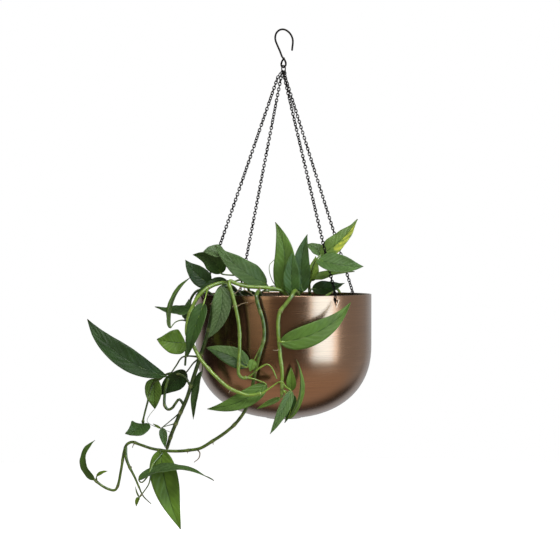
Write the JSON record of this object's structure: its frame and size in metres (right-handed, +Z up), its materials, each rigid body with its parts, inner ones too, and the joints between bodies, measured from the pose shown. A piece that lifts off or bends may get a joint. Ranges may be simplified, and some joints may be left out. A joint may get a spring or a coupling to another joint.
{
  "type": "potted cebu blue pothos in a hanging bowl",
  "caption": "Trailing blue-green pothos in a round brushed metal bowl that hangs by fine black chains from a ring and a wire hook.",
  "frame": {"origin": "underside of the hook's crown, where the hook bears on what holds it up", "axes": "+Z up, -Y towards the front of the picture, +X to the right seen from the front"},
  "size_m": [0.3602, 0.261, 0.6154],
  "materials": {
    "black_wire": "satin black",
    "brushed_bronze": "brushed copper-bronze",
    "black_plastic": "matt",
    "soil": "rough",
    "leaf": "satin, silvery blue-green",
    "pale_vine": "satin, yellow-green"
  },
  "bodies": {
    "hook": {"hook": "black_wire"},
    "ring": {"ring": "black_wire"},
    "planter": {"bowl": "brushed_bronze", "nursery_pot": "black_plastic", "soil": "soil", "chain_front_left": "black_wire", "rim_link_front_left": "black_wire", "chain_front_right": "black_wire", "rim_link_front_right": "black_wire", "chain_back_left": "black_wire", "rim_link_back_left": "black_wire", "chain_back_right": "black_wire", "rim_link_back_right": "black_wire", "vine_left_main": "leaf", "vine_arch_left": "pale_vine", "vine_left_side": "leaf", "shoot_upper_left": "leaf", "vine_rim_drop": "pale_vine", "vine_long_trail": "leaf", "vine_front_drop": "pale_vine", "shoot_centre": "leaf", "shoot_right": "leaf", "shoot_back": "leaf", "vine_back_left": "leaf", "vine_back_right": "leaf"}
  },
  "joints": [
    {"name": "ring_swing", "type": "hinge", "parent": "hook", "child": "ring", "pos_m": [0, 0, -0.0467], "axis": [0.788, -0.6157, 0], "range_deg": [-15, 15]},
    {"name": "planter_swing", "type": "hinge", "parent": "ring", "child": "planter", "pos_m": [0, 0, -0.0526], "axis": [0.6157, 0.788, 0], "range_deg": [-15, 15]}
  ]
}
